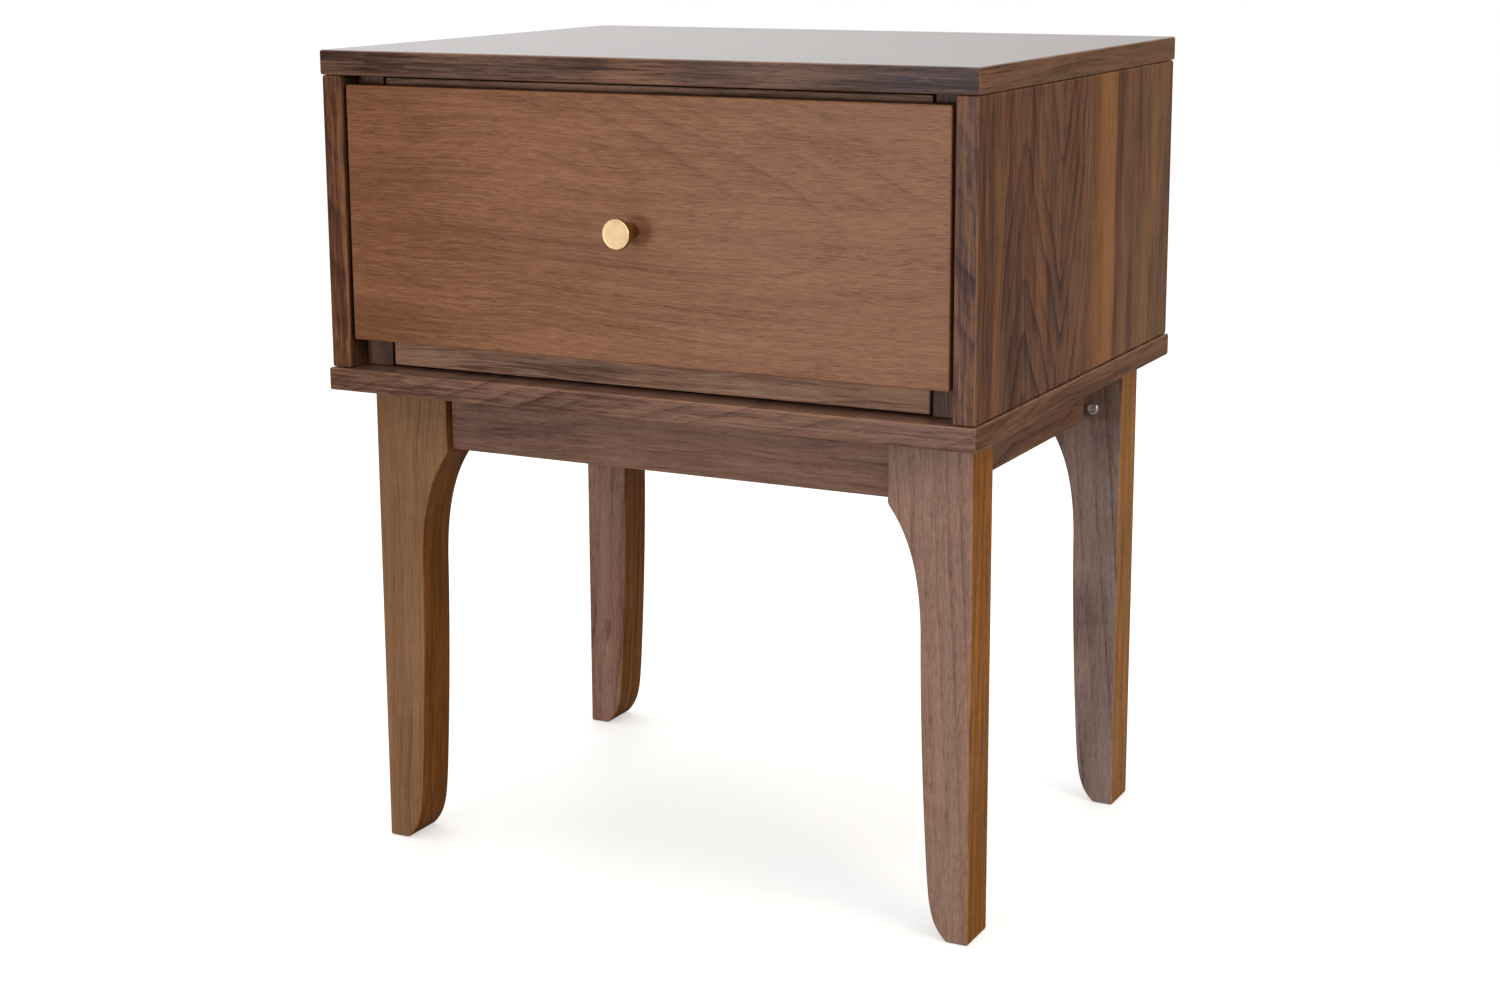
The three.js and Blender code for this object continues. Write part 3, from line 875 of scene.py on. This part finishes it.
def build_case():
    top, base, side_wood = case_materials()
    board("top_panel", top, "carcase")
    board("bottom_panel", base, "carcase")
    stile_rings = log_rings(500, -400, 0.02, 7)
    stile = walnut("walnut_stile", DARK_TONE, along="z", across="x", seed=21, rings=stile_rings)
    back_rings = log_rings(430, -400, 0.02, 9)
    back = walnut("walnut_back", DARK_TONE, along="x", across="z", seed=22, rings=back_rings)
    packer = light_wood("packer_wood", "y", "z", PLAIN_TONE, 23)
    for side, _sign in SIDES:
        board(f"side_panel_{side}", side_wood[side], "carcase")
        board(f"front_stile_{side}", stile, "carcase", FINE_EASE)
        board(f"slide_packer_{side}", packer, "carcase", FINE_EASE)
    board("back_panel", back, "carcase", FINE_EASE)


def build_drawer(steel):
    board("drawer_front", drawer_front_material(), "drawer")
    # the box front's tone is lightened past the wood's own: painted light standing in for light that falls
    # into the recess under the drawer front
    box_tone = (srgb(86, 63, 50), srgb(134, 102, 84), srgb(156, 121, 98))
    box_front = walnut("walnut_box_front", box_tone, along="x", across="z", seed=24)
    paint("drawer_box_front", box_front)
    side_wood = light_wood("box_side_wood", "y", "z", BOX_TONE, 25)
    for side, _sign in SIDES:
        paint(f"drawer_box_side_{side}", side_wood)
    back_wood = light_wood("box_back_wood", "x", "z", BOX_TONE, 26)
    board("drawer_box_back", back_wood, "drawer", FINE_EASE)
    paint("drawer_box_bottom", light_wood("box_bottom_wood", "x", "y", BOX_TONE, 27))
    knob()
    for node in frame["record"]["behaviour"]["bodies"]["drawer"]:
        if "screw" in node:
            paint(node, steel)


def build_base(steel):
    tone = (srgb(72, 52, 46), srgb(111, 82, 71), srgb(136, 103, 89))
    calm = {"streaks": 0.7, "fibres": 0.7, "dashes": 0.7, "shortness": 1.8}
    long_apron = walnut("walnut_apron", tone, along="x", across="z", seed=30, **calm)
    side_apron = walnut("walnut_side_apron", tone, along="y", across="z", seed=31, **calm)
    glue_block = light_wood("corner_block_wood", "x", "y", PLAIN_TONE, 32)
    for row in ROWS:
        board(f"apron_{row}", long_apron, "carcase", FINE_EASE)
    for side, sign in SIDES:
        board(f"apron_{side}", side_apron, "carcase", FINE_EASE)
        for row in ROWS:
            leg(row, side, sign)
            leg_bolt(row, side, steel)
            paint(f"corner_block_{row}_{side}", glue_block)
            paint(f"corner_screw_{row}_{side}", steel)


def build_slides(steel):
    for member in ("outer", "middle", "inner"):
        for side, sign in SIDES:
            slide_member(member, side, sign, steel)


# ---------------------------------------------------------------- studio


def build_studio():
    bpy.ops.mesh.primitive_plane_add(size=30, location=(0, 0, -0.0002))
    floor = bpy.context.object
    floor.name = "studio_floor"
    floor.data.materials.append(floor_material())

    world = bpy.data.worlds.new("studio")
    bpy.context.scene.world = world
    world.use_nodes = True
    sky = world.node_tree.nodes["Background"]
    links = world.node_tree.links
    towards = world.node_tree.nodes.new("ShaderNodeTexCoord").outputs["Generated"]
    lit_side = world.node_tree.nodes.new("ShaderNodeVectorMath")
    lit_side.operation = "DOT_PRODUCT"
    links.new(towards, lit_side.inputs[0])
    lit_side.inputs[1].default_value = (-0.7, -0.1, 0.7)
    glow = world.node_tree.nodes.new("ShaderNodeMapRange")
    glow.interpolation_type = "SMOOTHSTEP"
    links.new(lit_side.outputs["Value"], glow.inputs["Value"])
    glow.inputs["From Min"].default_value = -0.3
    glow.inputs["From Max"].default_value = 0.5
    glow.inputs["To Min"].default_value = 0.18
    glow.inputs["To Max"].default_value = 0.95
    seen = world.node_tree.nodes.new("ShaderNodeLightPath").outputs["Is Camera Ray"]
    strength = world.node_tree.nodes.new("ShaderNodeMath")
    strength.operation = "MAXIMUM"
    links.new(glow.outputs[0], strength.inputs[0])
    links.new(seen, strength.inputs[1])
    links.new(strength.outputs[0], sky.inputs["Strength"])
    sky.inputs["Color"].default_value = (1, 1, 1, 1)

    def area(name, place, target, size, power, colour=(1, 1, 1)):
        data = bpy.data.lights.new(name, "AREA")
        data.shape = "RECTANGLE"
        data.size, data.size_y = size
        data.energy = power
        data.color = colour
        light = bpy.data.objects.new(name, data)
        light.location = place
        light.rotation_euler = (Vector(target) - Vector(place)).to_track_quat("-Z", "Y").to_euler()
        bpy.context.scene.collection.objects.link(light)

    area("key_softbox", (-0.62, -2.7, 0.42), (0, 0, 0.45), (0.5, 0.5), 28)
    area("fill_softbox", (2.6, -1.0, 1.4), (0, 0, 0.35), (1.6, 1.6), 45, colour=(1.0, 0.86, 0.64))
    area("top_softbox", (0, 0.4, 2.8), (0, 0, 0), (3.0, 3.0), 42)


def build_camera():
    data = bpy.data.cameras.new("camera")
    data.sensor_width = 36
    data.lens = 59.4
    data.shift_y = -0.06
    data.clip_end = 50
    camera = bpy.data.objects.new("camera", data)
    turn, down, roll = (math.radians(angle) for angle in (26.98, 11.48, -0.26))
    upright = Matrix.Rotation(math.pi / 2 - down, 4, "X")
    aim = Matrix.Rotation(turn, 4, "Z") @ upright @ Matrix.Rotation(roll, 4, "Z")
    camera.matrix_world = Matrix.Translation((0.819, -1.622, 0.691)) @ aim
    bpy.context.scene.collection.objects.link(camera)
    bpy.context.scene.camera = camera


bpy.context.scene.view_settings.view_transform = "Standard"
build_camera()
zinc_steel = zinc()
build_case()
build_drawer(zinc_steel)
build_base(zinc_steel)
build_slides(zinc_steel)
build_studio()
